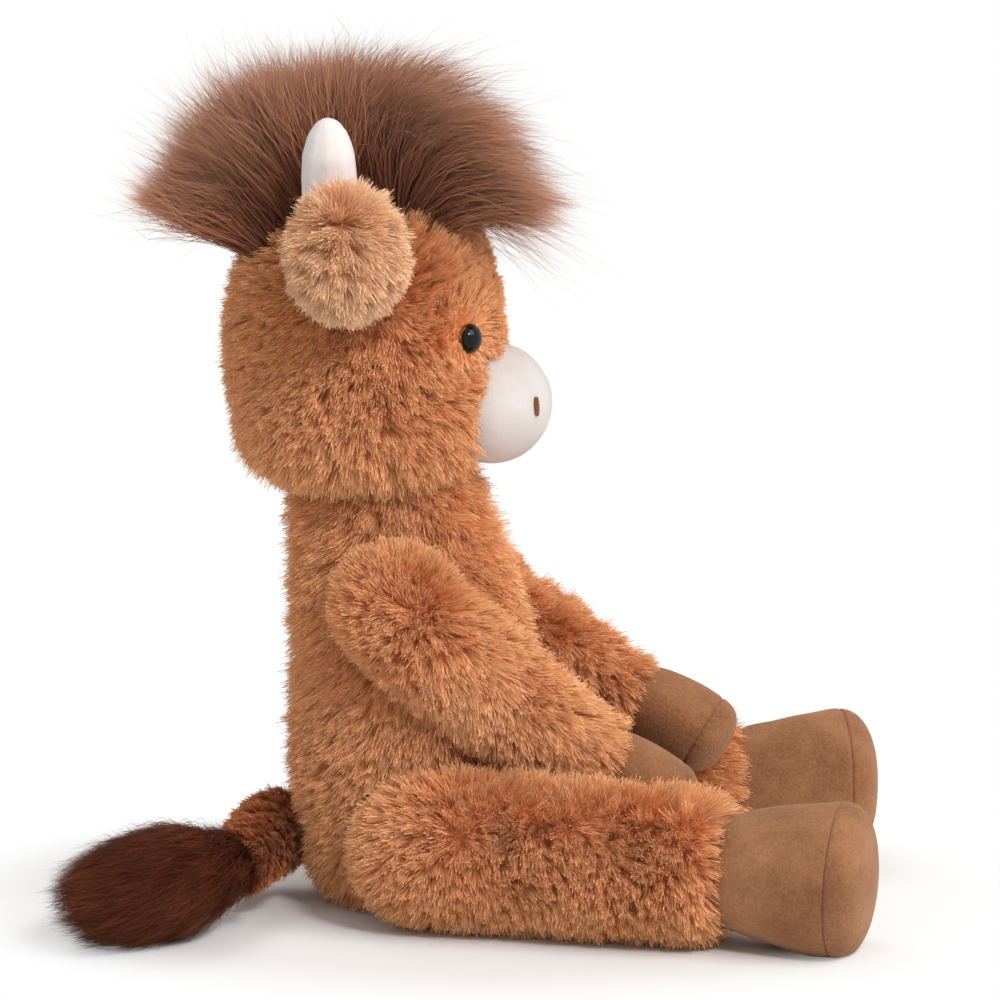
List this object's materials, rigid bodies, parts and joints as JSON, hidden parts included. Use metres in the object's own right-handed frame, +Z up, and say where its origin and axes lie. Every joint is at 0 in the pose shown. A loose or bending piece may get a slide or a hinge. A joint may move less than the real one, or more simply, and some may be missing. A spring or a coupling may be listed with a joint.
{
  "type": "plush highland cow",
  "caption": "Seated long-haired plush cow with suede-cloth hooves, velour muzzle and horns; the head, ears, arms, legs and tail turn on their seams.",
  "frame": {"origin": "middle of the flat seat, on the surface that the toy sits on", "axes": "+X the way the toy faces, +Y its left, +Z up"},
  "size_m": [0.291, 0.2176, 0.3215],
  "materials": {
    "plush_brown": "long-pile plush, warm brown with lighter tips",
    "plush_tan": "long-pile plush, light tan",
    "mane_brown": "long straight pile, dark brown with lighter tips",
    "tuft_brown": "long straight pile, very dark brown",
    "velour_white": "short smooth velour, off-white",
    "suede_brown": "suede cloth with a short brushed nap",
    "eye_black": "high gloss",
    "thread_brown": "satin embroidery thread",
    "fibre_white": "loose polyester fibre",
    "bag_linen": "plain woven bag",
    "washer_white": "plain moulded"
  },
  "bodies": {
    "torso": {"torso_cover": "plush_brown", "torso_stuffing": "fibre_white", "pellet_bag": "bag_linen", "closing_stitch": "thread_brown"},
    "neck": {"neck_thread": "thread_brown"},
    "head": {"head_cover": "plush_brown", "head_stuffing": "fibre_white", "muzzle": "velour_white", "nostril_left": "thread_brown", "nostril_right": "thread_brown", "eye_left": "eye_black", "eye_right": "eye_black", "eye_washer_left": "washer_white", "eye_washer_right": "washer_white", "horn_left": "velour_white", "horn_right": "velour_white", "mane": "mane_brown"},
    "ear_left": {"ear_left": "plush_tan"},
    "ear_right": {"ear_right": "plush_tan"},
    "arm_left": {"arm_left_sleeve": "plush_brown", "arm_left_stuffing": "fibre_white", "arm_left_hoof": "suede_brown", "arm_left_sole": "suede_brown"},
    "arm_right": {"arm_right_sleeve": "plush_brown", "arm_right_stuffing": "fibre_white", "arm_right_hoof": "suede_brown", "arm_right_sole": "suede_brown"},
    "leg_left": {"leg_left_sleeve": "plush_brown", "leg_left_stuffing": "fibre_white", "leg_left_hoof": "suede_brown", "leg_left_sole": "suede_brown"},
    "leg_right": {"leg_right_sleeve": "plush_brown", "leg_right_stuffing": "fibre_white", "leg_right_hoof": "suede_brown", "leg_right_sole": "suede_brown"},
    "tail": {"tail_stem": "plush_brown", "tail_tuft": "tuft_brown"}
  },
  "joints": [
    {"name": "neck_turn", "type": "hinge", "parent": "torso", "child": "neck", "pos_m": [-0.013, 0, 0.157], "axis": [0, 0, 1], "range_deg": [-35, 35], "stiffness_Nm_per_rad": 0.05},
    {"name": "neck_nod", "type": "hinge", "parent": "neck", "child": "head", "pos_m": [-0.013, 0, 0.157], "axis": [0, 1, 0], "range_deg": [-10, 10], "stiffness_Nm_per_rad": 0.8},
    {"name": "ear_left_droop", "type": "hinge", "parent": "head", "child": "ear_left", "pos_m": [-0.0205, 0.04627, 0.251], "axis": [-1, 0, 0], "range_deg": [0, 20], "stiffness_Nm_per_rad": 0.08},
    {"name": "ear_right_droop", "type": "hinge", "parent": "head", "child": "ear_right", "pos_m": [-0.0205, -0.04627, 0.251], "axis": [1, 0, 0], "range_deg": [0, 20], "stiffness_Nm_per_rad": 0.08},
    {"name": "shoulder_left", "type": "hinge", "parent": "torso", "child": "arm_left", "pos_m": [-0.005, 0.04685, 0.121], "axis": [0.3769, -0.7537, 0.5384], "range_deg": [0, 90]},
    {"name": "shoulder_right", "type": "hinge", "parent": "torso", "child": "arm_right", "pos_m": [-0.005, -0.04685, 0.121], "axis": [-0.3769, -0.7537, -0.5384], "range_deg": [0, 90]},
    {"name": "hip_left", "type": "hinge", "parent": "torso", "child": "leg_left", "pos_m": [0.007, 0.0483, 0.0305], "axis": [0, 1, 0], "range_deg": [0, 80]},
    {"name": "hip_right", "type": "hinge", "parent": "torso", "child": "leg_right", "pos_m": [0.007, -0.0483, 0.0305], "axis": [0, 1, 0], "range_deg": [0, 80]},
    {"name": "tail_swing", "type": "hinge", "parent": "torso", "child": "tail", "pos_m": [-0.053, 0, 0.024], "axis": [0, 0, -1], "range_deg": [0, 100]}
  ]
}
